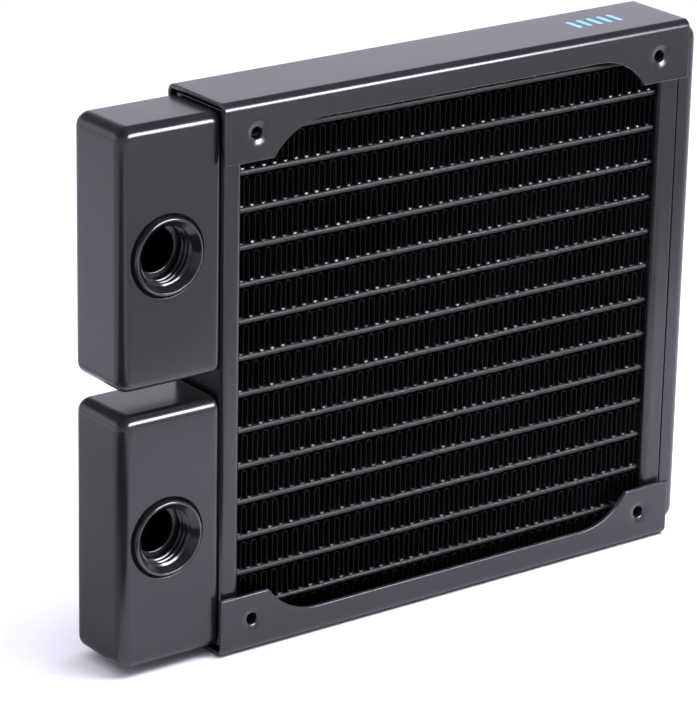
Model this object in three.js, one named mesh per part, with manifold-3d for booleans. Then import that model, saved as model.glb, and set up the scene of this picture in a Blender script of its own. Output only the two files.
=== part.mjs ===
// Slim liquid cooling radiator for one 120 mm fan: two sheet metal side channels around a core of
// flat tubes and folded fin strips, a pair of port tanks on the left and a return tank on the right.
// Millimetres, +Z up. Ports and fans face -Y, the tanks with the ports are at -X.
// The origin is under the middle of the whole radiator, on the face that it stands on.
import * as THREE from 'three';
import { mergeVertices } from 'three/addons/utils/BufferGeometryUtils.js';
import Module from 'manifold-3d';

const wasm = await Module();
wasm.setup();

// Driving dimensions
const overallHeight = 119;
const channelLength = 121;
const channelDepth = 20.4;
const channelSheet = 1;
const bendRadius = 1.9;
const tabHeight = 12.8;
const midFlangeHeight = 6.1;
const tabWidth = 12.1;
const scoopRadius = 15;

const fanHolePitch = 105;
const screwBoreRadius = 1.25;
const screwCollarRadius = 2;
const screwCollarLength = 0.8;

const faceRecess = 2;
const tankSheet = 0.8;
const tankEdgeRadius = 2.8;
const tankCornerRadius = 3.2;
const tankHeight = 55.15;
const tankGap = 5;
const portTankReach = 24.3;
const returnTankReach = 5.3;

const headerSheet = 0.8;
const headerPlateSheet = 1;
const headerLength = 5;
const headerBendRadius = 1;
const headerLipRadius = 1.5;
const headerEnd = 59.6;
const headerEndGap = 0.7;

const tubeCount = 14;
const tubeThickness = 1.4;
const tubeWall = 0.3;
const finSheet = 0.12;
const finFolds = 44;
const coreInset = 0.8;

// G1/4 port: thread modelled as a plain bore at its core diameter
const portInFromTankEnd = 13;
const portBodyRadius = 7.6;
const portHoleRadius = 7.8;
const portRimRadius = 8.3;
const portRimHeight = 1;
const portMouthRadius = 7.1;
const portThreadRadius = 5.75;
const portNeckRadius = 4.75;
const portThreadDepth = 6;
const portDepth = 7;

// Clearances between pieces that are soldered or pushed together
const jointGap = 0.1;
const slotGap = 0.15;

// How finely round shapes are stepped, how far a cutter passes its target, and when points are one
const roundSegments = 28;
const screwSegments = 16;
const cornerSteps = 5;
const bendSteps = 4;
const edgeSteps = 3;
const scoopSteps = 6;
const overcut = 1;
const mergeTolerance = 1e-4;

// Places worked out from the driving dimensions, in a frame centred on the core
const quarter = Math.PI / 2;
const halfHeight = overallHeight / 2;
const frontFace = -channelDepth / 2;
const backFace = channelDepth / 2;
const tankFront = frontFace + faceRecess;
const tankBack = backFace - channelSheet - jointGap;
const tankStart = headerEnd + jointGap;
const tankTop = tankGap / 2 + tankHeight;
const tankMiddle = tankGap / 2 + tankHeight / 2;
const coreFront = tankFront + headerSheet + coreInset;
const coreBack = tankBack - headerSheet - coreInset;
const coreHalfWidth = headerEnd - headerPlateSheet - jointGap;
const channelInside = halfHeight - channelSheet;

// One more strip than tubes fills the height between the channels, with a joint gap at every face
const finHeight = (2 * (channelInside - jointGap) - tubeCount * (tubeThickness + jointGap)) / (tubeCount + 1);
const tubePitch = finHeight + tubeThickness + jointGap;
const portX = -(tankStart + portInFromTankEnd);
const leftEnd = -(tankStart + portTankReach);
const rightEnd = tankStart + returnTankReach;

const blackPaint = { color: 0x1c1b20, roughness: 0.35, metalness: 0.3 };
const finPaint = { color: 0x0c0b0e, roughness: 0.5, metalness: 0.3 };
const bushingPaint = { color: 0x17161a, roughness: 0.25, metalness: 0.5 };

const assembly = new THREE.Group();
assembly.position.set(-(leftEnd + rightEnd) / 2, 0, halfHeight);

function addPart(name, geometry, finish) {
  const mesh = new THREE.Mesh(geometry, new THREE.MeshStandardMaterial(finish));
  mesh.name = name;
  assembly.add(mesh);
  return mesh;
}

// Solids are joined and cut as manifolds, then turned back into geometry
function solid(geometry) {
  const bare = geometry.clone();
  bare.deleteAttribute('normal');
  bare.deleteAttribute('uv');
  const merged = mergeVertices(bare, mergeTolerance);
  return new wasm.Manifold(new wasm.Mesh({
    numProp: 3,
    vertProperties: new Float32Array(merged.attributes.position.array),
    triVerts: new Uint32Array(merged.index.array),
  }));
}

function geometryOf(manifold) {
  const mesh = manifold.getMesh();
  const geometry = new THREE.BufferGeometry();
  geometry.setAttribute('position', new THREE.BufferAttribute(mesh.vertProperties, 3));
  geometry.setIndex(new THREE.BufferAttribute(mesh.triVerts, 1));
  return geometry;
}

// The same shape on the other side. A mirror turns faces inside out, so two corners of each change places.
function mirrored(geometry, x, y, z) {
  const copy = geometry.clone().scale(x, y, z);
  const index = copy.index.array;
  for (let i = 0; i < index.length; i += 3) {
    [index[i + 1], index[i + 2]] = [index[i + 2], index[i + 1]];
  }
  return copy;
}

// A flat outline pushed along one axis. The outline's own two axes are named by the function.
function extrudeXY(shape, bottom, top) {
  const geometry = new THREE.ExtrudeGeometry(shape, { depth: top - bottom, bevelEnabled: false });
  return geometry.translate(0, 0, bottom);
}

function extrudeYZ(shape, left, right) {
  const geometry = new THREE.ExtrudeGeometry(shape, { depth: right - left, bevelEnabled: false });
  const turn = new THREE.Matrix4().makeBasis(
    new THREE.Vector3(0, 1, 0), new THREE.Vector3(0, 0, 1), new THREE.Vector3(1, 0, 0));
  return geometry.applyMatrix4(turn).translate(left, 0, 0);
}

function extrudeXZ(shape, front, back, edgeRadius = 0) {
  const geometry = new THREE.ExtrudeGeometry(shape, {
    depth: back - front - 2 * edgeRadius,
    bevelEnabled: edgeRadius > 0,
    bevelThickness: edgeRadius,
    bevelSize: edgeRadius,
    bevelOffset: -edgeRadius,
    bevelSegments: edgeSteps,
  });
  const turn = new THREE.Matrix4().makeBasis(
    new THREE.Vector3(1, 0, 0), new THREE.Vector3(0, 0, 1), new THREE.Vector3(0, -1, 0));
  return geometry.applyMatrix4(turn).translate(0, back - edgeRadius, 0);
}

function barAlongY(radius, front, back, x, z, segments) {
  const geometry = new THREE.CylinderGeometry(radius, radius, back - front, segments);
  return geometry.translate(x, (front + back) / 2, z);
}

function block(x0, x1, y0, y1, z0, z1) {
  const geometry = new THREE.BoxGeometry(x1 - x0, y1 - y0, z1 - z0);
  return geometry.translate((x0 + x1) / 2, (y0 + y1) / 2, (z0 + z1) / 2);
}

// Points of an arc from one angle to another, both ends included
function arc(cx, cy, radius, from, to, steps) {
  const points = [];
  for (let i = 0; i <= steps; i += 1) {
    const angle = from + ((to - from) * i) / steps;
    points.push(new THREE.Vector2(cx + radius * Math.cos(angle), cy + radius * Math.sin(angle)));
  }
  return points;
}

// Side channels: a C of folded sheet with full corner tabs and a scooped opening between them

function channelProfile() {
  const insideBend = bendRadius - channelSheet;
  const bendZ = halfHeight - bendRadius;
  const bendY = backFace - bendRadius;
  const flangeEnd = halfHeight - tabHeight;
  return new THREE.Shape([
    new THREE.Vector2(backFace, flangeEnd),
    ...arc(bendY, bendZ, bendRadius, 0, quarter, bendSteps),
    ...arc(-bendY, bendZ, bendRadius, quarter, 2 * quarter, bendSteps),
    new THREE.Vector2(frontFace, flangeEnd),
    new THREE.Vector2(frontFace + channelSheet, flangeEnd),
    ...arc(-bendY, bendZ, insideBend, 2 * quarter, quarter, edgeSteps),
    ...arc(bendY, bendZ, insideBend, quarter, 0, edgeSteps),
    new THREE.Vector2(backFace - channelSheet, flangeEnd),
  ]);
}

// Each end of the opening is an arc that starts at the tab's corner and runs into the straight edge
function scoopOutline() {
  const rise = tabHeight - midFlangeHeight;
  const run = Math.sqrt(2 * scoopRadius * rise - rise * rise);
  const cornerX = channelLength / 2 - tabWidth;
  const arcX = cornerX - run;
  const arcZ = halfHeight - midFlangeHeight - scoopRadius;
  const cornerAngle = Math.atan2(scoopRadius - rise, run);
  const below = halfHeight - tabHeight - overcut;
  return new THREE.Shape([
    new THREE.Vector2(-cornerX, below),
    new THREE.Vector2(cornerX, below),
    ...arc(arcX, arcZ, scoopRadius, cornerAngle, quarter, scoopSteps),
    ...arc(-arcX, arcZ, scoopRadius, quarter, 2 * quarter - cornerAngle, scoopSteps),
  ]);
}

// Pulled collar behind a tapped fan hole, from the middle of the sheet into the channel
function screwCollar(x, z, face) {
  const inward = face < 0 ? 1 : -1;
  const start = face + (inward * channelSheet) / 2;
  const end = face + inward * (channelSheet + screwCollarLength);
  return barAlongY(screwCollarRadius, Math.min(start, end), Math.max(start, end), x, z, screwSegments);
}

function screwBore(x, z) {
  return barAlongY(screwBoreRadius, frontFace - overcut, backFace + overcut, x, z, screwSegments);
}

function upperChannel() {
  const half = channelLength / 2;
  const opening = extrudeXZ(scoopOutline(), frontFace - overcut, backFace + overcut);
  let channel = solid(extrudeYZ(channelProfile(), -half, half)).subtract(solid(opening));
  const holeZ = fanHolePitch / 2;
  for (const x of [-holeZ, holeZ]) {
    for (const face of [frontFace, backFace]) {
      channel = channel.add(solid(screwCollar(x, holeZ, face)));
    }
    channel = channel.subtract(solid(screwBore(x, holeZ)));
  }
  return geometryOf(channel);
}

// Tanks: drawn shells with filleted edges, open towards the header plate

// The tank's outline from its closed left end, with round corners there, to a plain right end
function tankOutline(left, right, bottom, top, radius) {
  return new THREE.Shape([
    new THREE.Vector2(right, bottom),
    new THREE.Vector2(right, top),
    ...arc(left + radius, top - radius, radius, quarter, 2 * quarter, cornerSteps),
    ...arc(left + radius, bottom + radius, radius, 2 * quarter, 3 * quarter, cornerSteps),
  ]);
}

// Both blanks run past the tank's open end, by more for the inner one, and are cut off square there
function tankShell(reach, bottom, top) {
  const left = -tankStart - reach;
  const outerEnd = 2 * tankEdgeRadius - tankStart;
  const innerEnd = 2 * outerEnd + tankStart;
  const outer = extrudeXZ(
    tankOutline(left, outerEnd, bottom, top, tankCornerRadius), tankFront, tankBack, tankEdgeRadius);
  const hollow = tankOutline(
    left + tankSheet, innerEnd, bottom + tankSheet, top - tankSheet, tankCornerRadius - tankSheet);
  const inner = extrudeXZ(
    hollow, tankFront + tankSheet, tankBack - tankSheet, tankEdgeRadius - tankSheet);
  const beyond = block(-tankStart, innerEnd + overcut, frontFace, backFace, -halfHeight, halfHeight);
  return solid(outer).subtract(solid(inner)).subtract(solid(beyond));
}

function portTank(bottom, top) {
  const holeEnd = tankFront + 2 * tankSheet;
  const middle = (bottom + top) / 2;
  const hole = barAlongY(portHoleRadius, frontFace - overcut, holeEnd, portX, middle, roundSegments);
  return geometryOf(tankShell(portTankReach, bottom, top).subtract(solid(hole)));
}

// Turned bushing: rim on the tank's face, chamfered mouth, thread bore and a narrower neck behind it
function portBushing(z) {
  const rimFront = tankFront - portRimHeight;
  const rimBack = tankFront - jointGap / 2;
  const mouthDepth = portMouthRadius - portThreadRadius;
  const profile = [
    [portMouthRadius, rimFront],
    [portThreadRadius, rimFront + mouthDepth],
    [portThreadRadius, rimFront + portThreadDepth],
    [portNeckRadius, rimFront + portThreadDepth],
    [portNeckRadius, rimFront + portDepth],
    [portBodyRadius, rimFront + portDepth],
    [portBodyRadius, rimBack],
    [portRimRadius, rimBack],
    [portRimRadius, rimFront + portRimHeight / 2],
    [portRimRadius - portRimHeight / 2, rimFront],
    [portMouthRadius, rimFront],
  ].map(([radius, y]) => new THREE.Vector2(radius, y));
  return new THREE.LatheGeometry(profile.reverse(), roundSegments).translate(portX, 0, z);
}

// Header plates: a U of sheet that spans the whole height, slotted for every tube

// One leg of the U, from the middle of the plate to the lip that curls in towards the core.
// Its front face lies at the outer side given, and inward is the way towards the core's middle.
function headerLeg(outerSide, inward) {
  const lipX = headerLength - headerEnd - headerLipRadius;
  const lipY = outerSide + inward * headerLipRadius;
  const bendX = headerBendRadius - headerEnd;
  const bendY = outerSide + inward * headerBendRadius;
  const insideLip = headerLipRadius - headerSheet;
  const corner = headerBendRadius - headerSheet;
  const outside = [
    ...arc(bendX, bendY, headerBendRadius, 2 * quarter, (2 + inward) * quarter, edgeSteps),
    ...arc(lipX, lipY, headerLipRadius, -inward * quarter, 0, edgeSteps),
  ];
  const inside = [
    ...arc(lipX, lipY, insideLip, 0, -inward * quarter, edgeSteps),
    new THREE.Vector2(headerPlateSheet - headerEnd + corner, outerSide + inward * headerSheet),
    new THREE.Vector2(headerPlateSheet - headerEnd, outerSide + inward * (headerSheet + corner)),
  ];
  return [...outside, ...inside];
}

function headerProfile() {
  const front = headerLeg(tankFront, 1);
  const back = headerLeg(tankBack, -1);
  return new THREE.Shape([...front, ...back.reverse()]);
}

// Flat tube section: straight sides with round front and back edges
function tubeOutline(grow) {
  const radius = tubeThickness / 2 + grow;
  const front = coreFront + tubeThickness / 2;
  const back = coreBack - tubeThickness / 2;
  return [
    ...arc(back, 0, radius, -quarter, quarter, bendSteps),
    ...arc(front, 0, radius, quarter, 3 * quarter, bendSteps),
  ];
}

function tubeHeight(index) {
  return (index - (tubeCount - 1) / 2) * tubePitch;
}

function headerPlate() {
  const top = channelInside - headerEndGap;
  let plate = solid(extrudeXY(headerProfile(), -top, top));
  const slot = extrudeYZ(
    new THREE.Shape(tubeOutline(slotGap)), -headerEnd - overcut, headerPlateSheet - headerEnd + overcut);
  for (let i = 0; i < tubeCount; i += 1) {
    plate = plate.subtract(solid(slot.clone().translate(0, 0, tubeHeight(i))));
  }
  return geometryOf(plate);
}

function flatTube() {
  const section = new THREE.Shape(tubeOutline(0));
  section.holes.push(new THREE.Path(tubeOutline(-tubeWall)));
  return extrudeYZ(section, jointGap - headerEnd, headerEnd - jointGap);
}

// Fin strip: one folded ribbon. The outline runs along its upper side and back along its lower side.
function finOutline(height) {
  const halfFolds = 2 * finFolds;
  const halfPitch = (2 * coreHalfWidth) / halfFolds;
  const wallHeight = (finSheet * Math.hypot(height, halfPitch)) / halfPitch;
  const upper = [];
  const lower = [];
  for (let i = 0; i <= halfFolds; i += 1) {
    const x = -coreHalfWidth + i * halfPitch;
    const crest = i % 2 === 1;
    upper.push(new THREE.Vector2(x, crest ? height / 2 : wallHeight - height / 2));
    lower.push(new THREE.Vector2(x, crest ? height / 2 - wallHeight : -height / 2));
  }
  return new THREE.Shape([...lower, ...upper.reverse()]);
}

function finStrip() {
  return extrudeXZ(finOutline(finHeight), coreFront, coreBack);
}

// The assembly

const upperSide = upperChannel();
addPart('upper_side_channel', upperSide, blackPaint);
addPart('lower_side_channel', mirrored(upperSide, 1, 1, -1), blackPaint);

addPart('upper_port_tank', portTank(tankGap / 2, tankTop), blackPaint);
addPart('lower_port_tank', portTank(-tankTop, -tankGap / 2), blackPaint);
addPart('upper_port_bushing', portBushing(tankMiddle), bushingPaint);
addPart('lower_port_bushing', portBushing(-tankMiddle), bushingPaint);
const returnTank = geometryOf(tankShell(returnTankReach, -tankTop, tankTop));
addPart('return_tank', mirrored(returnTank, -1, 1, 1), blackPaint);

const portSideHeader = headerPlate();
addPart('port_side_header_plate', portSideHeader, blackPaint);
addPart('return_side_header_plate', mirrored(portSideHeader, -1, 1, 1), blackPaint);

const tubeGeometry = flatTube();
for (let i = 0; i < tubeCount; i += 1) {
  const number = String(i + 1).padStart(2, '0');
  addPart(`flat_tube_${number}`, tubeGeometry, finPaint).position.z = tubeHeight(i);
}

const finGeometry = finStrip();
for (let i = 0; i <= tubeCount; i += 1) {
  const number = String(i + 1).padStart(2, '0');
  addPart(`fin_strip_${number}`, finGeometry, finPaint).position.z = tubeHeight(i) - tubePitch / 2;
}

export default assembly;
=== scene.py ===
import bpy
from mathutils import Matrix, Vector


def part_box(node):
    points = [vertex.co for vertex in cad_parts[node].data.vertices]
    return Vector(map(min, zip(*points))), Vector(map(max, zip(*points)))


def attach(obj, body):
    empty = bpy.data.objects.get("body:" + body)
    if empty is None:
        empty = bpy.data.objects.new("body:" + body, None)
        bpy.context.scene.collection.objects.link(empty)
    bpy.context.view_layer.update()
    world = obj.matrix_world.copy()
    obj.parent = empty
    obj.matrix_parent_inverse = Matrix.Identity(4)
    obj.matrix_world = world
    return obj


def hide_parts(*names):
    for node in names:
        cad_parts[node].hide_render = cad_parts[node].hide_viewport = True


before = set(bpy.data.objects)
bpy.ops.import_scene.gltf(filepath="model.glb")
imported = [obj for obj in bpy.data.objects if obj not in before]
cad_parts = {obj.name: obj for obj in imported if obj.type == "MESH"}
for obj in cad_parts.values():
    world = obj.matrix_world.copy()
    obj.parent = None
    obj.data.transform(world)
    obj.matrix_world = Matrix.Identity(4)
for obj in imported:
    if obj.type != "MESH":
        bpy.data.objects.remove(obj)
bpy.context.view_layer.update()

import math

import bmesh
import bpy
import numpy as np
from mathutils import Matrix, Vector

# Shapes below are worked out in millimetres in the part's own frame: ports and fans face -Y, +Z is up
mm = 0.001
quarterTurn = math.pi / 2
scene = bpy.context.scene
random = np.random.default_rng(14)


def boxOf(node):
    low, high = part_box(node)
    return np.array(low) / mm, np.array(high) / mm


# ---- shared mesh tools

# Faces of a grid of points numbered row by row, without those inside a window
def gridFaces(rows, columns, wrapRows=False, wrapColumns=False, windows=()):
    row, column = np.meshgrid(np.arange(rows if wrapRows else rows - 1),
                              np.arange(columns if wrapColumns else columns - 1), indexing="ij")
    kept = np.ones(row.shape, bool)
    for firstRow, lastRow, firstColumn, lastColumn in windows:
        kept[firstRow:lastRow, firstColumn:lastColumn] = False
    row, column = row[kept], column[kept]
    nextRow = (row + 1) % rows
    nextColumn = (column + 1) % columns
    return np.stack([row * columns + column, nextRow * columns + column,
                     nextRow * columns + nextColumn, row * columns + nextColumn], axis=1)


# Row and column numbers once round a window's rim
def windowRim(firstRow, lastRow, firstColumn, lastColumn):
    rows = np.arange(firstRow, lastRow)
    columns = np.arange(firstColumn, lastColumn)
    return (np.concatenate([rows, np.full(len(columns), lastRow),
                            rows[::-1] + 1, np.full(len(columns), firstRow)]),
            np.concatenate([np.full(len(rows), firstColumn), columns,
                            np.full(len(rows), lastColumn), columns[::-1] + 1]))


# A round hole along Y through a sheet: rings of a radius and a depth join the window in the outer
# skin to the same window in the inner skin, and each ring's points stand at the rim points' own angles
def holePatch(outer, inner, window, centre, inward, rings, wearAndGlintMarks):
    rim = windowRim(*window)
    start, end = outer[rim], inner[rim]
    turn = np.arctan2(start[:, 2] - centre[2], start[:, 0] - centre[0])
    radius, depth = np.array(rings).T[:, :, None]
    ringPoints = np.stack([centre[0] + radius * np.cos(turn),
                           centre[1] + inward * depth + 0 * turn,
                           centre[2] + radius * np.sin(turn)], axis=2)
    points = np.concatenate([start[None], ringPoints, end[None]])
    wearAndGlintMask = np.concatenate([[0], wearAndGlintMarks, [0]])[:, None] + 0 * turn
    return points, gridFaces(len(points), len(turn), wrapColumns=True), wearAndGlintMask


# How a sheet's rim is rounded: how far each line stands in from the rim, and half the thickness there
def rimSteps(rounding, halfThickness, steps=4):
    angle = np.linspace(0, quarterTurn, steps)
    inset = np.concatenate([[0], rounding * (1 - np.cos(angle))])
    half = np.concatenate([[0], halfThickness - rounding + rounding * np.sin(angle)])
    return inset, half


# One closed body from patches of (points, faces, edge mask for wear and painted highlights): patches are
# merged where they meet, faces are turned outwards, and creases over the sharp angle stay sharp
def makePiece(name, patches, finish, replaced=(), sharpAngle=38):
    sizes = [len(points.reshape(-1, 3)) for points, _, _ in patches]
    starts = np.concatenate([[0], np.cumsum(sizes)[:-1]])
    points = np.concatenate([points.reshape(-1, 3) for points, _, _ in patches]) * mm
    faces = np.concatenate([faces + start for (_, faces, _), start in zip(patches, starts)])
    wearAndGlintMarks = np.concatenate([np.broadcast_to(wearAndGlintMask, points.shape[:-1]).ravel() for points, _, wearAndGlintMask in patches])
    mesh = bpy.data.meshes.new(name)
    mesh.from_pydata(points.tolist(), [], faces.tolist())
    mesh.attributes.new("edgeWearAndGlint", "FLOAT", "POINT").data.foreach_set("value", wearAndGlintMarks.astype(np.float32))
    body = bmesh.new()
    body.from_mesh(mesh)
    bmesh.ops.remove_doubles(body, verts=body.verts, dist=2e-3 * mm)
    bmesh.ops.recalc_face_normals(body, faces=body.faces)
    openEdges = sum(not edge.is_manifold for edge in body.edges)
    body.to_mesh(mesh)
    body.free()
    mesh.shade_smooth()
    mesh.set_sharp_from_angle(angle=math.radians(sharpAngle))
    piece = bpy.data.objects.new(name, mesh)
    scene.collection.objects.link(piece)
    weighted = piece.modifiers.new("weightedNormals", "WEIGHTED_NORMAL")
    weighted.keep_sharp = True
    mesh.materials.append(finish)
    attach(piece, "root")
    if replaced:
        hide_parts(*replaced)
    if openEdges:
        print(f"  {name}: {openEdges} open edges")
    return piece


# ---- finishes

# A shader node group with named sockets. Its build function gets the nodes' maker, the group's inputs
# by name and a linker, and returns the sockets that feed the outputs.
def makeGroup(name, inputs, outputs, build):
    group = bpy.data.node_groups.new(name, "ShaderNodeTree")
    for label, kind, value in inputs:
        socket = group.interface.new_socket(label, in_out="INPUT", socket_type=kind)
        if value is not None:
            socket.default_value = value
    for label, kind in outputs:
        group.interface.new_socket(label, in_out="OUTPUT", socket_type=kind)
    source = group.nodes.new("NodeGroupInput")
    sink = group.nodes.new("NodeGroupOutput")
    results = build(NodeMaker(group), source.outputs)
    for (label, _), socket in zip(outputs, results):
        group.links.new(socket, sink.inputs[label])
    return group


# Makes nodes in one tree: sets named properties, then links or sets the inputs
class NodeMaker:
    def __init__(self, tree):
        self.tree = tree

    def add(self, kind, inputs=None, **properties):
        node = self.tree.nodes.new(kind)
        for key, value in properties.items():
            setattr(node, key, value)
        for key, value in (inputs or {}).items():
            if isinstance(value, bpy.types.NodeSocket):
                self.tree.links.new(value, node.inputs[key])
            else:
                node.inputs[key].default_value = value
        return node

    def noise(self, place, scale, detail=2.0, roughness=0.5):
        inputs = {"Vector": place, "Scale": scale, "Detail": detail, "Roughness": roughness}
        return self.add("ShaderNodeTexNoise", inputs).outputs["Fac"]

    def math(self, operation, first, second=0.0):
        return self.add("ShaderNodeMath", {0: first, 1: second}, operation=operation).outputs[0]

    # Takes a value from one range to another, held at the ends
    def span(self, value, fromLow, fromHigh, toLow, toHigh):
        inputs = {"Value": value, "From Min": fromLow, "From Max": fromHigh,
                  "To Min": toLow, "To Max": toHigh}
        return self.add("ShaderNodeMapRange", inputs).outputs["Result"]

    def mixColour(self, share, first, second):
        node = self.add("ShaderNodeMix", data_type="RGBA")
        for socket, value in ((node.inputs[0], share), (node.inputs[6], first), (node.inputs[7], second)):
            if isinstance(value, bpy.types.NodeSocket):
                self.tree.links.new(value, socket)
            else:
                socket.default_value = value
        return node.outputs[2]


# Sprayed paint's skin: a fine orange peel with a slower roll under it
def buildOrangePeel(make, given):
    fine = make.noise(given["Place"], given["Peel Scale"], 1.5)
    slow = make.noise(given["Place"], make.math("MULTIPLY", given["Peel Scale"], 0.18), 1.0)
    height = make.math("ADD", make.math("MULTIPLY", fine, 0.35), slow)
    sheen = make.noise(given["Place"], make.math("MULTIPLY", given["Peel Scale"], 0.035), 4.0, 0.6)
    return height, sheen


# Dust, rubbed edges and a painted highlight: sparse specks from a stretched noise, thinner paint where the
# edge mask is high; on the fins that mask marks the trough fills, where the lighter tone is a painted
# highlight
def buildWearDustAndGlint(make, given):
    fleck = make.noise(given["Place"], given["Speck Scale"], 3.0, 0.75)
    specks = make.span(fleck, given["Speck Limit"], 0.86, 0.0, 1.0)
    patchy = make.noise(given["Place"], make.math("MULTIPLY", given["Speck Scale"], 0.12), 5.0, 0.7)
    rubAndGlint = make.math("MULTIPLY", given["Edge"], make.span(patchy, 0.35, 0.65, 0.15, 1.0))
    return specks, rubAndGlint


orangePeel = makeGroup(
    "orangePeel",
    [("Place", "NodeSocketVector", None), ("Peel Scale", "NodeSocketFloat", 1200.0)],
    [("Height", "NodeSocketFloat"), ("Sheen", "NodeSocketFloat")], buildOrangePeel)
wearDustAndGlint = makeGroup(
    "wearDustAndGlint",
    [("Place", "NodeSocketVector", None), ("Edge", "NodeSocketFloat", 0.0),
     ("Speck Scale", "NodeSocketFloat", 2600.0), ("Speck Limit", "NodeSocketFloat", 0.78)],
    [("Specks", "NodeSocketFloat"), ("Rub And Glint", "NodeSocketFloat")], buildWearDustAndGlint)


# A painted surface: peel drives the bump and the sheen, wear lightens and dulls specks and edges, and on the
# fins the edge tone lightens the trough fills as a painted highlight
def paintMaterial(name, look):
    material = bpy.data.materials.new(name)
    material.use_nodes = True
    tree = material.node_tree
    tree.nodes.clear()
    make = NodeMaker(tree)
    place = make.add("ShaderNodeTexCoord").outputs["Object"]
    edge = make.add("ShaderNodeAttribute", attribute_name="edgeWearAndGlint").outputs["Fac"]
    peel = make.add("ShaderNodeGroup", node_tree=orangePeel)
    wearAndGlintMarks = make.add("ShaderNodeGroup", node_tree=wearDustAndGlint)
    tree.links.new(place, peel.inputs["Place"])
    tree.links.new(place, wearAndGlintMarks.inputs["Place"])
    tree.links.new(edge, wearAndGlintMarks.inputs["Edge"])
    peel.inputs["Peel Scale"].default_value = look["peelScale"]
    wearAndGlintMarks.inputs["Speck Scale"].default_value = look["speckScale"]
    wearAndGlintMarks.inputs["Speck Limit"].default_value = look["speckLimit"]
    shade = make.mixColour(make.span(peel.outputs["Sheen"], 0.3, 0.7, 0.0, 1.0), look["deep"], look["light"])
    speckShare = make.math("MULTIPLY", wearAndGlintMarks.outputs["Specks"], look["speckShare"])
    dusty = make.mixColour(speckShare, shade, look["dust"])
    rubAndGlintAmount = make.math("MULTIPLY", wearAndGlintMarks.outputs["Rub And Glint"], look["rubAndGlintShare"])
    # Edge tone by the mask: rubbed paint on sheet edges, and a painted highlight on the fins' trough fills
    colour = make.mixColour(rubAndGlintAmount, dusty, look["edge"])
    low, high = look["roughness"]
    roughness = make.span(peel.outputs["Sheen"], 0.3, 0.7, low, high)
    roughness = make.math("ADD", roughness, make.math("MULTIPLY", wearAndGlintMarks.outputs["Specks"], 0.2))
    bump = make.add("ShaderNodeBump", {"Height": peel.outputs["Height"], "Strength": look["bump"],
                                       "Distance": look["bumpDistance"] * mm})
    shader = make.add("ShaderNodeBsdfPrincipled", {
        "Base Color": colour, "Roughness": roughness, "Normal": bump.outputs["Normal"]})
    plainShine, fullMaskShine = look["specular"]
    if plainShine != fullMaskShine:
        tree.links.new(make.span(edge, 0.0, 1.0, plainShine, fullMaskShine), shader.inputs["Specular IOR Level"])
    else:
        shader.inputs["Specular IOR Level"].default_value = plainShine
    shader.inputs["Metallic"].default_value = look["metallic"]
    shader.inputs["IOR"].default_value = look["ior"]
    output = make.add("ShaderNodeOutputMaterial")
    tree.links.new(shader.outputs[0], output.inputs["Surface"])
    return material


satinBlack = {
    "deep": (0.0085, 0.008, 0.0095, 1), "light": (0.012, 0.0113, 0.0135, 1),
    "dust": (0.16, 0.16, 0.18, 1), "edge": (0.05, 0.049, 0.055, 1),
    "speckShare": 0.35, "rubAndGlintShare": 0.6, "roughness": (0.19, 0.25), "peelScale": 1100.0,
    "speckScale": 2400.0, "speckLimit": 0.8, "bump": 0.12, "bumpDistance": 0.02, "metallic": 0.0, "ior": 1.5,
    # shine where the edge mask is off and where it is full
    "specular": (0.5, 0.5)}
bushingBlack = {
    **satinBlack, "roughness": (0.14, 0.22), "deep": (0.006, 0.006, 0.007, 1),
    "light": (0.009, 0.0088, 0.01, 1), "specular": (0.42, 0.9)}
# Fins: the edge mask covers only the trough fills, so the edge tone is a painted highlight there; the raised
# shine there is real gloss
finBlack = {
    **satinBlack, "deep": (0.003, 0.003, 0.0034, 1), "light": (0.007, 0.0068, 0.008, 1),
    "edge": (0.02, 0.0195, 0.022, 1), "rubAndGlintShare": 0.5, "roughness": (0.28, 0.42), "peelScale": 900.0,
    "speckLimit": 0.76, "specular": (0.14, 0.6)}
tubeBlack = {
    **finBlack, "deep": (0.006, 0.0058, 0.0066, 1), "light": (0.014, 0.0135, 0.015, 1), "peelScale": 1600.0,
    "bump": 0.8, "bumpDistance": 0.1, "roughness": (0.4, 0.6), "specular": (0.3, 0.3)}
paleBlueInk = {
    **satinBlack, "deep": (0.09, 0.3, 0.58, 1), "light": (0.12, 0.35, 0.64, 1), "edge": (0.14, 0.37, 0.65, 1),
    "roughness": (0.32, 0.42), "speckShare": 0.1}

paint = paintMaterial("satinBlackPaint", satinBlack)
bushingPaint = paintMaterial("bushingBlackPaint", bushingBlack)
finPaint = paintMaterial("finBlackPaint", finBlack)
tubePaint = paintMaterial("tubeBlackPaint", tubeBlack)
ink = paintMaterial("paleBlueInk", paleBlueInk)
print("finishes made")


# ---- side channels

sideChannel = {
    "sheet": 1.0, "bendRadius": 1.9, "rounding": 0.3,
    "midFlange": 6.1, "tabWidth": 12.1, "scoopRadius": 15.0,
    "holePitch": 105.0, "holeFromTop": 7.0, "windowHalf": 3.5, "windowCells": 8,
    # radius and depth from the outer face: a soft dimple, the bore, then the collar pulled out behind
    "holeRings": [(3.05, 0.0), (2.75, 0.02), (2.4, 0.1), (2.0, 0.24), (1.65, 0.36), (1.42, 0.44),
                  (1.29, 0.56), (1.25, 0.75), (1.25, 1.7), (1.35, 1.8), (1.9, 1.8), (2.0, 1.7),
                  (2.1, 1.35), (2.4, 1.1), (2.9, 1.0)],
    "holeWear": [0, 0, 0, 0.1, 0.3, 0.7, 0.8, 0.3, 0, 0, 0, 0, 0, 0, 0],
}


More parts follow.
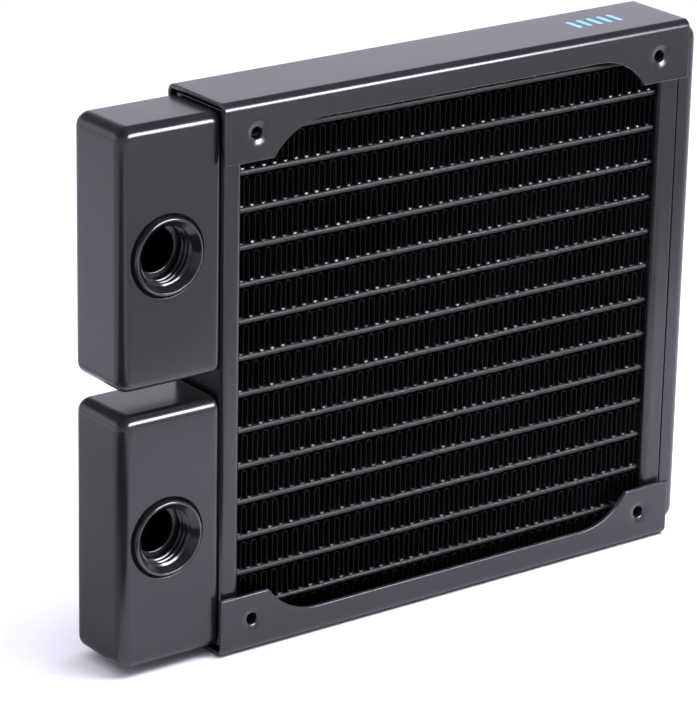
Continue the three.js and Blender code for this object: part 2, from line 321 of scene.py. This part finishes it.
# Stations along the channel: the scoop's arcs are stepped by angle, the hole windows by equal cells
def channelStations(spec, half, inset):
    tabCorner = half - spec["tabWidth"]
    rise = spec["tabHeight"] - spec["midFlange"]
    run = math.sqrt(2 * spec["scoopRadius"] * rise - rise * rise)
    arcStart = tabCorner - run
    arc = arcStart + spec["scoopRadius"] * np.sin(np.linspace(0, math.asin(run / spec["scoopRadius"]), 18))
    hole = spec["holePitch"] / 2
    window = np.linspace(hole - spec["windowHalf"], hole + spec["windowHalf"], spec["windowCells"] + 1)
    plain = np.linspace(window[-1], half - inset[-1], 4)[1:-1]
    positive = np.concatenate([np.linspace(0, arcStart, 9)[:-1], arc, window, plain, half - inset[::-1]])
    depthIn = np.abs(positive) - arcStart
    radius = spec["scoopRadius"]
    drop = radius - np.sqrt(np.maximum(radius ** 2 - np.clip(depthIn, 0, run) ** 2, 0))
    along = np.concatenate([-positive[:0:-1], positive])
    return along, np.concatenate([drop[:0:-1], drop]) + spec["midFlange"]


# A C of sheet: the mid line goes up the front flange, round a bend, over the web and down behind.
# Half the sheet's thickness to either side of it gives the two skins.
def channelPatches(spec, node, upwards):
    low, high = boxOf(node)
    half = (high[0] - low[0]) / 2
    spec = {**spec, "tabHeight": high[2] - low[2]}
    inset, rimHalf = rimSteps(spec["rounding"], spec["sheet"] / 2)
    along, flangeEnd = channelStations(spec, half, inset)
    rowHalf = np.interp(half - np.abs(along), inset[1:], rimHalf[1:])
    rowHalf[[0, -1]] = 0

    bend = spec["bendRadius"]
    top, bottom = spec["holeFromTop"] - spec["windowHalf"], spec["holeFromTop"] + spec["windowHalf"]
    reach = spec["tabHeight"] - inset[-1] - bend
    lines = np.linspace(bottom, top, spec["windowCells"] + 1)
    shares = np.concatenate([(spec["tabHeight"] - inset[-1] - lines) / reach, [1.0]])
    flangeDrop = np.concatenate([flangeEnd[:, None] - inset[None, :],
                                 flangeEnd[:, None] - inset[-1]
                                 - shares[None, :] * (flangeEnd[:, None] - inset[-1] - bend)], axis=1)
    angle = np.linspace(0, quarterTurn, 10)[1:]
    middle = bend - spec["sheet"] / 2
    depthHalf = (high[1] - low[1]) / 2
    web = np.linspace(depthHalf - bend, 0, 4)[1:]
    flat = flangeDrop.shape[1]
    fromMiddle = np.concatenate([np.full(flat, depthHalf - spec["sheet"] / 2),
                                 depthHalf - bend + middle * np.cos(angle), web])
    bendDrop = np.broadcast_to(bend - middle * np.sin(angle), (len(along), len(angle)))
    webDrop = np.full((len(along), len(web)), spec["sheet"] / 2)
    drop = np.concatenate([flangeDrop, bendDrop, webDrop], axis=1)
    outward = np.concatenate([np.ones(flat), np.cos(angle), np.zeros(len(web))])
    up = np.concatenate([np.zeros(flat), np.sin(angle), np.ones(len(web))])
    columnHalf = np.concatenate([rimHalf, np.full(len(fromMiddle) - len(rimHalf), spec["sheet"] / 2)])

    both = lambda values, sign=1: np.concatenate([values, sign * values[..., -2::-1]], axis=-1)
    y = both(-fromMiddle, -1)
    normalY, normalZ = both(-outward, -1), both(up)
    columnHalf = both(columnHalf)
    drop = both(drop)
    skin = np.minimum(rowHalf[:, None], columnHalf[None, :])
    edge = high[2] if upwards > 0 else low[2]
    centreX, centreY = (low[0] + high[0]) / 2, (low[1] + high[1]) / 2

    def skinPoints(side):
        return np.stack([np.broadcast_to(centreX + along[:, None], drop.shape),
                         centreY + y + side * skin * normalY,
                         edge - upwards * (drop - side * skin * normalZ)], axis=2)

    outer, inner = skinPoints(1), skinPoints(-1)
    hole = spec["holePitch"] / 2
    firstColumn = len(inset)
    windows, holes = [], []
    for side in (-1, 1):
        rows = sorted(np.abs(along - side * (hole + sign * spec["windowHalf"])).argmin() for sign in (-1, 1))
        for inward in (1, -1):
            first = firstColumn if inward > 0 else len(y) - 1 - firstColumn - spec["windowCells"]
            window = (*rows, first, first + spec["windowCells"])
            windows.append(window)
            centre = (centreX + side * hole, centreY - inward * depthHalf,
                      edge - upwards * spec["holeFromTop"])
            holes.append(holePatch(outer, inner, window, centre, inward, spec["holeRings"], spec["holeWear"]))
    faces = gridFaces(*drop.shape, windows=windows)
    wearAndGlintMask = np.where(skin < spec["sheet"] / 2 - 1e-6, 1.0, 0.0)
    return [(outer, faces, wearAndGlintMask), (inner, faces, wearAndGlintMask), *holes]


for name, upwards in (("upper_side_channel", 1), ("lower_side_channel", -1)):
    makePiece(name.replace("_channel", "_panel"), channelPatches(sideChannel, name, upwards), paint,
              [name])
print("side channels made")


# ---- tanks

portTank = {
    "wall": 0.8, "edgeRadius": 2.4, "cornerRadius": 3.0, "neck": 1.4,
    "edgeSteps": 10, "cornerSteps": 6, "flankCells": 5,
    "portFromEnd": 11.3, "windowHalf": 9.3, "windowSteps": 14, "windowShare": 0.43, "windowCells": 24,
    # radius and depth from the front face: pressed groove, hole for the bushing, and back along the inside
    "portRings": [(8.85, 0.0), (8.8, 0.02), (8.72, 0.1), (8.64, 0.22), (8.54, 0.34), (8.44, 0.42),
                  (8.3, 0.46), (8.2, 0.52), (8.2, 1.2), (8.28, 1.28), (8.45, 1.25), (8.7, 1.0), (8.8, 0.82)],
}
returnTank = {**portTank, "edgeRadius": 2.8, "cornerRadius": 3.4, "neck": 0.1, "windowHalf": None}
capRows = 2


# Stations along the tank from its closed end: the edge rounding by angle, then the corner, then the neck
def tankStations(spec, grow, reach):
    edge, corner = spec["edgeRadius"] - grow, spec["cornerRadius"] - grow
    rounded = edge * (1 - np.cos(np.linspace(0, quarterTurn, spec["edgeSteps"] + 1)))
    last = reach - spec["neck"]
    body = [rounded, np.linspace(edge, corner, spec["cornerSteps"] + 1)[1:]]
    if spec["windowHalf"]:
        windowEnd = spec["portFromEnd"] + spec["windowHalf"] - grow
        body += [np.linspace(corner, windowEnd, spec["windowSteps"] + 1)[1:]]
        corner = windowEnd
    if last > corner:
        body += [np.linspace(corner, last, 4)[1:]]
    turn = np.linspace(0, quarterTurn, 6)[1:]
    neck = last + spec["neck"] * np.sin(turn)
    pinch = np.concatenate([np.zeros(sum(map(len, body))), spec["neck"] * (1 - np.cos(turn))])
    return np.concatenate([*body, neck]), pinch


# One skin of a drawn tank. Around each station runs a rounded rectangle: where the edge rounding has
# come in by t, the corner of the outline is an arc of the corner radius less t about the same centre.
def tankSkin(spec, low, high, grow, openSide):
    reach = high[0] - low[0] - grow
    along, pinch = tankStations(spec, grow, reach)
    edge, corner = spec["edgeRadius"] - grow, spec["cornerRadius"] - grow
    halfHeight = (high[2] - low[2]) / 2 - grow
    front, back = low[1] + grow, high[1] - grow
    steps = np.linspace(1, 0, 9)
    most = np.arccos(1 - np.minimum(along, edge) / edge)
    angle = most[:, None] * steps[None, :]
    inBy, depth = edge * (1 - np.cos(angle)), edge * (1 - np.sin(angle)) + pinch[:, None]
    rest = corner - np.minimum(along, corner)[:, None]
    height = halfHeight - corner + np.sqrt(np.maximum((corner - inBy) ** 2 - rest ** 2, 0)) - pinch[:, None]
    share = spec["windowShare"]
    flank = np.linspace(share, 1, spec["flankCells"] + 1)[1:]
    face = np.concatenate([-flank[::-1], np.linspace(-share, share, spec["windowCells"] + 1), flank])
    side = np.linspace(0, 1, 5)[1:-1]
    frontY, backY = front + depth, back - depth
    wallFront, wallBack, wallHeight = frontY[:, -1:], backY[:, -1:], height[:, -1:]
    y = np.concatenate([
        np.broadcast_to(frontY[:, :1], (len(along), len(face))), frontY[:, 1:],
        wallFront + (wallBack - wallFront) * side, backY[:, ::-1],
        np.broadcast_to(backY[:, :1], (len(along), len(face) - 2)), backY,
        wallBack + (wallFront - wallBack) * side, frontY[:, :0:-1]], axis=1)
    z = np.concatenate([
        height[:, :1] * face, height[:, 1:],
        np.broadcast_to(wallHeight, (len(along), len(side))), height[:, ::-1],
        height[:, :1] * face[-2:0:-1], -height,
        np.broadcast_to(-wallHeight, (len(along), len(side))), -height[:, :0:-1]], axis=1)
    closed = low[0] if openSide > 0 else high[0]
    x = np.broadcast_to(closed + openSide * (along + grow)[:, None], y.shape)
    skin = np.stack([x, y, z + (low[2] + high[2]) / 2], axis=2)
    middle = skin[0].mean(axis=0)
    cap = middle + (skin[0] - middle) * np.linspace(0, 1, capRows, endpoint=False)[:, None, None]
    return np.concatenate([cap, skin])


# A drawn shell open towards the header plate: two skins, a lip that joins them and the port's hole
def tankPatches(spec, node, openSide, portAxis=None):
    low, high = boxOf(node)
    outer = tankSkin(spec, low, high, 0, openSide)
    inner = tankSkin(spec, low, high, spec["wall"], openSide)
    windows, holes = [], []
    if portAxis is not None:
        firstRow = capRows + spec["edgeSteps"]
        lastRow = firstRow + spec["cornerSteps"] + spec["windowSteps"]
        window = (firstRow, lastRow, spec["flankCells"], spec["flankCells"] + spec["windowCells"])
        windows.append(window)
        centre = (portAxis[0], low[1], portAxis[1])
        holes.append(holePatch(outer, inner, window, centre, 1, spec["portRings"],
                               np.zeros(len(spec["portRings"]))))
    rows, columns = outer.shape[:2]
    faces = gridFaces(rows, columns, wrapColumns=True, windows=windows)
    wearAndGlintMask = np.zeros((rows, columns))
    lip = np.stack([outer[-1], inner[-1]])
    return [(outer, faces, wearAndGlintMask), (inner, faces, wearAndGlintMask),
            (lip, gridFaces(2, columns, wrapColumns=True), np.zeros((2, columns))), *holes]


tankLow, _ = boxOf("upper_port_tank")
for level in ("upper", "lower"):
    bushingLow, bushingHigh = boxOf(f"{level}_port_bushing")
    axis = ((bushingLow[0] + bushingHigh[0]) / 2, (bushingLow[2] + bushingHigh[2]) / 2)
    makePiece(f"{level}_port_tank_shell", tankPatches(portTank, f"{level}_port_tank", 1, axis), paint,
              [f"{level}_port_tank"])
makePiece("return_tank_shell", tankPatches(returnTank, "return_tank", -1), paint,
          ["return_tank"])
print("tanks made")


# ---- port bushings

portBushing = {
    "pitch": 1.337, "crestRadius": 5.725, "rootRadius": 6.58, "mouthRadius": 7.42, "mouthFront": -0.94,
    "threadEnd": 4.85, "runOut": 0.7, "rowsPerTurn": 12, "columns": 120,
    # radius and depth from the tank's face: rounded rim, body, back face and neck
    "turned": [(7.45, -0.98), (7.52, -1.0), (7.64, -1.0), (7.78, -0.96), (7.92, -0.86), (8.03, -0.7),
               (8.1, -0.5), (8.13, -0.25), (8.13, 0.6), (8.13, 5.9), (8.05, 6.0), (4.85, 6.0),
               (4.75, 5.9), (4.75, 5.2), (4.8, 5.1), (4.95, 5.02), (6.3, 5.0)],
}


# Turned body with a helical thread: in the bore the radius swings between crest and root once per
# pitch of depth less angle, it is never under the mouth's chamfer, and runs out into a relief groove
def bushingPatches(spec, node, face):
    low, high = boxOf(node)
    turn = np.linspace(0, 2 * math.pi, spec["columns"], endpoint=False)
    radius, depth = np.array(spec["turned"]).T
    rows = int((spec["threadEnd"] - spec["mouthFront"]) / spec["pitch"] * spec["rowsPerTurn"])
    boreDepth = np.linspace(spec["threadEnd"], spec["mouthFront"], rows)[:, None]
    wave = 0.5 - 0.5 * np.cos(2 * math.pi * boreDepth / spec["pitch"] - turn)
    ending = np.clip((boreDepth - spec["threadEnd"] + spec["runOut"]) / spec["runOut"], 0, 1)
    wave = wave + (1 - wave) * ending
    thread = spec["crestRadius"] + (spec["rootRadius"] - spec["crestRadius"]) * wave
    bore = np.maximum(thread, spec["mouthRadius"] - (boreDepth - spec["mouthFront"]))
    allRadius = np.concatenate([np.broadcast_to(radius[:, None], (len(radius), len(turn))), bore])
    allDepth = np.concatenate([depth[:, None], boreDepth]) + 0 * turn
    points = np.stack([(low[0] + high[0]) / 2 + allRadius * np.cos(turn), face + allDepth,
                       (low[2] + high[2]) / 2 + allRadius * np.sin(turn)], axis=2)
    wearAndGlintMask = np.concatenate([np.interp(depth, [-1.0, -0.5], [0.6, 0]), np.zeros(rows)])[:, None] + 0 * turn
    return [(points, gridFaces(*allRadius.shape, wrapRows=True, wrapColumns=True), wearAndGlintMask)]


for level in ("upper", "lower"):
    node = f"{level}_port_bushing"
    makePiece(f"{level}_threaded_bushing", bushingPatches(portBushing, node, tankLow[1]), bushingPaint,
              [node])
print("bushings made")


# ---- header plates

headerPlate = {"innerRows": 10, "sheet": 0.8, "lipRadius": 1.5, "rounding": 0.25, "steps": 8}


# A U of sheet that runs the core's height. Its mid line starts at the lip's rim, curls outwards through
# the lip's arc, runs straight to the bend's arc and along the plate to the middle, and mirrors from there.
def headerPatches(spec, node, openSide):
    low, high = boxOf(node)
    thick, bend, lip, steps = spec["sheet"], spec["bendRadius"], spec["lipRadius"], spec["steps"]
    inset, rimHalf = rimSteps(spec["rounding"], thick / 2)
    innerRows = spec["innerRows"]
    inner = np.linspace(low[2] + inset[-1], high[2] - inset[-1], innerRows + 2)[1:-1]
    height = np.concatenate([low[2] + inset, inner, high[2] - inset[::-1]])
    rowHalf = np.concatenate([rimHalf, np.full(innerRows, thick / 2), rimHalf[::-1]])
    length, halfDepth = high[0] - low[0], (high[1] - low[1]) / 2
    angle = np.linspace(0, quarterTurn, steps + 1)[1:]
    plate = np.linspace(halfDepth - bend, 0, 4)[1:]
    lipMiddle, bendMiddle = lip - thick / 2, bend - thick / 2
    out = np.concatenate([np.full(len(inset), length - thick / 2), length - lip + lipMiddle * np.cos(angle),
                          [bend], bend - bendMiddle * np.sin(angle), np.full(len(plate), thick / 2)])
    fromMiddle = np.concatenate([halfDepth - lip - inset[-1] + inset,
                                 halfDepth - lip + lipMiddle * np.sin(angle), [halfDepth - thick / 2],
                                 halfDepth - bend + bendMiddle * np.cos(angle), plate])
    normalY = np.concatenate([0 * inset, np.sin(angle), [1], np.cos(angle), 0 * plate])
    normalX = np.concatenate([0 * inset - 1, -np.cos(angle), [0], np.sin(angle), 0 * plate + 1])
    columnHalf = np.concatenate([rimHalf, np.full(len(out) - len(rimHalf), thick / 2)])
    both = lambda values, sign=1: np.concatenate([values, sign * values[-2::-1]])
    skin = np.minimum(rowHalf[:, None], both(columnHalf)[None, :])
    start = low[0] if openSide > 0 else high[0]

    def skinPoints(side):
        x = start + openSide * (both(out) - side * skin * both(normalX))
        y = (low[1] + high[1]) / 2 + both(-fromMiddle, -1) + side * skin * both(-normalY, -1)
        return np.stack([x, y, np.broadcast_to(height[:, None], x.shape)], axis=2)

    wearAndGlintMask = np.where(skin < thick / 2 - 1e-6, 0.6, 0.0)
    faces = gridFaces(*skin.shape)
    return [(skinPoints(1), faces, wearAndGlintMask), (skinPoints(-1), faces, wearAndGlintMask)]


for side, openSide, bendRadius in (("port", 1, 1.1), ("return", -1, 0.45)):
    node = f"{side}_side_header_plate"
    spec = {**headerPlate, "bendRadius": bendRadius}
    makePiece(f"{side}_side_header_strip", headerPatches(spec, node, openSide), paint, [node])
print("header plates made")


# ---- core

finStrip = {"foil": 0.09, "folds": 44, "arcSteps": 8, "wander": 0.12, "lean": 0.05, "frontJitter": 0.12,
            "crestJitter": 0.05, "clearance": 0.02, "fillet": 0.33, "filletSlope": 0.5,
            "filletPower": 4, "leastFill": 0.3, "glintMaskGain": 3, "waves": (3, 7, 11)}
flatTube = {"wall": 0.3, "stations": 265, "waviness": 0.05, "noseSteps": 9, "recess": 0.3, "solderBumps": 0.2,
            "waves": (2, 5, 9)}


# Smooth random wander along the core, as a sum of a few slow waves of random phase
def wander(along, size, waves, rng):
    length = np.ptp(along)
    phases = rng.uniform(0, 2 * math.pi, len(waves))
    return size * sum(np.sin(2 * math.pi * count * along / length + phase)
                      for count, phase in zip(waves, phases)) / len(waves)


# One folded ribbon. Half circles stand at its crests, up and down in turn, each a quarter of the fold's
# length in radius, so the straight walls between them are the joints from one half circle to the next.
# Solder and paint fill the bottom of each trough: thicker there by a power of the sine of the arc's angle,
# with a front that leans back by the slope times the fill.
def finPatches(spec, node, rng):
    low, high = boxOf(node)
    crests = 2 * spec["folds"]
    radius = (high[0] - low[0]) / crests / 2
    turn = np.linspace(0, math.pi, spec["arcSteps"] + 1)[None, :]
    number = np.arange(crests)[:, None]
    updown = np.where(number % 2 == 0, 1, -1)
    lean = rng.normal(0, spec["lean"], (crests, 1))
    lean[[0, -1]] = 0
    centre = low[0] + (2 * number + 1) * radius + lean
    centre[1:-1] += wander(centre[1:-1], spec["wander"], spec["waves"], rng)
    reach = (high[2] - low[2] - spec["foil"]) / 2 - spec["clearance"] \
        - np.abs(rng.normal(0, spec["crestJitter"], (crests, 1)))
    along = (centre - radius * np.cos(turn)).ravel()
    height = (updown * (reach - radius + radius * np.sin(turn))).ravel() + (low[2] + high[2]) / 2
    normalX = (-updown * np.cos(turn)).ravel() * spec["foil"] / 2
    normalZ = (np.sin(turn) + 0 * number).ravel() * spec["foil"] / 2
    jitter = np.repeat(rng.uniform(0, spec["frontJitter"], crests), turn.size)
    front, back = low[1] + jitter, high[1] - jitter[::-1]
    share = np.sin(turn) ** spec["filletPower"] * (updown < 0)
    fill = (spec["fillet"] * share * rng.uniform(spec["leastFill"], 1, (crests, 1))).ravel()
    filledFront = front + spec["filletSlope"] * fill
    lines = ((1, filledFront, fill), (-1, front, 0), (-1, back, 0), (1, back, 0))
    points = np.stack([np.stack([along + side * normalX, depth, height + side * normalZ + lift], axis=1)
                       for side, depth, lift in lines])
    # Mask on the fronts of the trough fills: the fin paint shines more there, and its lighter edge tone there
    # is a painted highlight
    wearAndGlintMask = np.array([1, 1, 0, 0])[:, None] * np.clip(fill / spec["fillet"] * spec["glintMaskGain"], 0, 1)
    caps = [(points[:, end].reshape(2, 2, 3), np.array([[0, 1, 2, 3]]), np.zeros((2, 2)))
            for end in (0, -1)]
    return [(points, gridFaces(4, len(along), wrapRows=True), wearAndGlintMask), *caps]


# A flat tube: two straight sides and two round noses, carried along X with a slight wave in height.
# Its noses stand back a little behind the fins, and swell where solder has set at every fin wall.
def tubePatches(spec, node, rng):
    low, high = boxOf(node)
    radius = (high[2] - low[2]) / 2
    turn = np.linspace(-quarterTurn, quarterTurn, spec["noseSteps"])
    along = np.linspace(low[0], high[0], spec["stations"])
    endFade = np.sin(np.linspace(0, math.pi, len(along))) ** 0.3
    lift = wander(along, spec["waviness"], spec["waves"], rng) * endFade
    bumps = spec["solderBumps"] * endFade * rng.uniform(0, 1, len(along))

    def loop(shrink):
        nose = spec["recess"] - bumps[:, None]
        across = np.concatenate([high[1] - radius - nose + (radius - shrink) * np.cos(turn),
                                 low[1] + radius + nose - (radius - shrink) * np.cos(turn)], axis=1)
        updown = (radius - shrink) * np.concatenate([np.sin(turn), -np.sin(turn)])
        z = (low[2] + high[2]) / 2 + lift[:, None] + updown
        return np.stack([np.broadcast_to(along[:, None], z.shape), across, z], axis=2)

    points = np.concatenate([loop(0), loop(spec["wall"])[::-1]])
    rows, columns = points.shape[:2]
    return [(points, gridFaces(rows, columns, wrapRows=True, wrapColumns=True), np.zeros((rows, columns)))]


cadNames = sorted(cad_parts)
for node in (name for name in cadNames if name.startswith("fin_strip")):
    makePiece(node.replace("fin_strip", "fin_ribbon"), finPatches(finStrip, node, random), finPaint,
              [node], sharpAngle=50)
for node in (name for name in cadNames if name.startswith("flat_tube")):
    makePiece(node.replace("flat_tube", "core_tube"), tubePatches(flatTube, node, random), tubePaint,
              [node])
print("core made")


# ---- printed mark

printedMark = {"bars": 5, "length": 5.0, "width": 1.2, "gap": 2.8, "film": 0.03, "sunk": 0.005, "steps": 24,
               "fromRight": 24.0}


# One row of equal upright bars with round ends, in thin ink along the web's middle line
def markPatches(spec):
    low, high = boxOf("upper_side_channel")
    turn = np.linspace(0, 2 * math.pi, spec["steps"], endpoint=False)
    size = np.array([0, 1, 1, 0])[:, None]
    z = high[2] - spec["sunk"] + np.array([0, 0, 1, 1])[:, None] * spec["film"] + 0 * turn
    outlineX = spec["width"] / 2 * np.cos(turn)
    straight = (spec["length"] - spec["width"]) / 2
    outlineY = spec["width"] / 2 * np.sin(turn) + np.sign(np.sin(turn).round(6)) * straight
    middleY = (low[1] + high[1]) / 2
    patches = []
    for number in range(spec["bars"]):
        centreX = high[0] - spec["fromRight"] + number * spec["gap"]
        points = np.stack([centreX + size * outlineX, middleY + size * outlineY, z], axis=2)
        patches.append((points, gridFaces(4, len(turn), wrapColumns=True), np.zeros(z.shape)))
    return patches


makePiece("printed_mark", markPatches(printedMark), ink)
print("mark made")


# ---- stage, lights and camera

stageFloor = {"size": 6.0, "colour": (0.88, 0.88, 0.9, 1), "roughness": 0.9}
view = {"place": (-0.46587, -0.6074, 0.33141), "yaw": 36.768, "pitch": 20.064, "roll": 1.133, "lens": 191.43}
lights = {
    # name: place, point faced, width, height, radiance, seen in gloss, lights matt surfaces
    "keySoftbox": ((0.33, -0.76, 0.45), (0, 0, 0.06), 0.58, 0.3, 40.0, True, False),
    "nearWash": ((0.1, -0.1, 0.41), (0.04, -0.07, 0), 0.28, 0.28, 11.5, False, True),
    "ceilingWash": ((-0.2, 0.1, 1.6), (-0.2, 0.1, 0), 3.4, 3.4, 1.3, False, True),
    "backWall": ((0.91, 1.46, 0.6), (0, 0, 0.06), 3.4, 1.1, 0.62, True, True),
    "leftWall": ((-1.63, 1.12, 0.46), (0, 0, 0.06), 2.4, 1.0, 0.8, True, True),
}
cards = {
    # name: middle, width, length, turn in degrees, shade
    "left_dark_card": ((-0.24, -0.13), 0.34, 0.2, 37.0, 0.01),
    "front_grey_card": ((0.14, -0.23), 0.4, 0.18, 0.0, 0.42),
    "left_grey_card": ((-0.135, 0.055), 0.16, 0.12, -53.0, 0.45),
}
cardLift = 0.4
lightTint = (0.955, 0.93, 1.06)


def makeFloor(spec):
    half = spec["size"] / 2
    corners = [(-half, -half, 0), (half, -half, 0), (half, half, 0), (-half, half, 0)]
    mesh = bpy.data.meshes.new("studio_floor")
    mesh.from_pydata(corners, [], [(0, 1, 2, 3)])
    floor = bpy.data.objects.new("studio_floor", mesh)
    floor.location.z = -0.05 * mm
    scene.collection.objects.link(floor)
    material = bpy.data.materials.new("studioFloor")
    material.use_nodes = True
    make = NodeMaker(material.node_tree)
    shader = material.node_tree.nodes["Principled BSDF"]
    place = make.add("ShaderNodeTexCoord").outputs["Object"]
    tone = make.mixColour(make.noise(place, 3.0, 2.0), spec["colour"], (0.9, 0.9, 0.91, 1))
    material.node_tree.links.new(tone, shader.inputs["Base Color"])
    shader.inputs["Roughness"].default_value = spec["roughness"]
    shader.inputs["Specular IOR Level"].default_value = 0.0
    mesh.materials.append(material)


# A card on the floor that only the glossy paint sees, which darkens what the paint reflects
def makeCard(name, middle, width, length, turn, shade):
    corners = [(x * width / 2, y * length / 2, 0) for x, y in ((-1, -1), (1, -1), (1, 1), (-1, 1))]
    mesh = bpy.data.meshes.new(name)
    mesh.from_pydata(corners, [], [(0, 1, 2, 3)])
    card = bpy.data.objects.new(name, mesh)
    card.location = (*middle, cardLift * mm)
    card.rotation_euler.z = math.radians(turn)
    scene.collection.objects.link(card)
    card.visible_camera = card.visible_diffuse = card.visible_shadow = False
    material = bpy.data.materials.new(name)
    material.use_nodes = True
    shader = material.node_tree.nodes["Principled BSDF"]
    shader.inputs["Base Color"].default_value = (shade, shade, shade, 1)
    shader.inputs["Roughness"].default_value = 1.0
    shader.inputs["Specular IOR Level"].default_value = 0.0
    mesh.materials.append(material)


# An area light's power gives its radiance times its area times pi
def makeLight(name, place, faced, width, height, radiance, inGloss, onMatt):
    data = bpy.data.lights.new(name, "AREA")
    data.shape = "RECTANGLE"
    data.size, data.size_y = width, height
    data.energy = radiance * width * height * math.pi
    data.color = lightTint
    lamp = bpy.data.objects.new(name, data)
    away = Vector(place) - Vector(faced)
    lamp.matrix_world = Matrix.Translation(Vector(place)) @ away.to_track_quat("Z", "Y").to_matrix().to_4x4()
    lamp.visible_camera = False
    lamp.visible_glossy = inGloss
    lamp.visible_diffuse = onMatt
    scene.collection.objects.link(lamp)


room = {"wallTop": 0.3, "ceilingStart": 0.55,
        "wall": (0.62, 0.60, 0.69, 1), "ceiling": (0.1, 0.1, 0.12, 1)}


# The room: pale walls round the horizon, a dark ceiling over them
def makeWorld():
    world = bpy.data.worlds.new("studio")
    world.use_nodes = True
    scene.world = world
    make = NodeMaker(world.node_tree)
    place = make.add("ShaderNodeTexCoord").outputs["Generated"]
    height = make.add("ShaderNodeSeparateXYZ", {0: place}).outputs["Z"]
    share = make.span(height, room["wallTop"], room["ceilingStart"], 0.0, 1.0)
    colour = make.mixColour(share, room["wall"], room["ceiling"])
    background = world.node_tree.nodes["Background"]
    world.node_tree.links.new(colour, background.inputs["Color"])
    background.inputs["Strength"].default_value = 1.0


# Looks along yaw (from +Y towards +X) and down by pitch, then turns about the line of sight by roll
def makeCamera(spec):
    yaw, pitch, roll = (math.radians(spec[key]) for key in ("yaw", "pitch", "roll"))
    forward = Vector((math.sin(yaw) * math.cos(pitch), math.cos(yaw) * math.cos(pitch), -math.sin(pitch)))
    right = Vector((math.cos(yaw), -math.sin(yaw), 0))
    up = right.cross(forward)
    turnedRight = math.cos(roll) * right + math.sin(roll) * up
    turnedUp = -math.sin(roll) * right + math.cos(roll) * up
    data = bpy.data.cameras.new("camera")
    data.lens = spec["lens"]
    data.sensor_width = 36
    data.clip_start = 0.01
    camera = bpy.data.objects.new("camera", data)
    axes = Matrix((turnedRight, turnedUp, -forward)).transposed()
    camera.matrix_world = Matrix.Translation(Vector(spec["place"])) @ axes.to_4x4()
    scene.collection.objects.link(camera)
    scene.camera = camera


makeFloor(stageFloor)
for name, values in cards.items():
    makeCard(name, *values)
for name, values in lights.items():
    makeLight(name, *values)
makeWorld()
makeCamera(view)
scene.view_settings.view_transform = "Standard"
print("stage, lights and camera made")
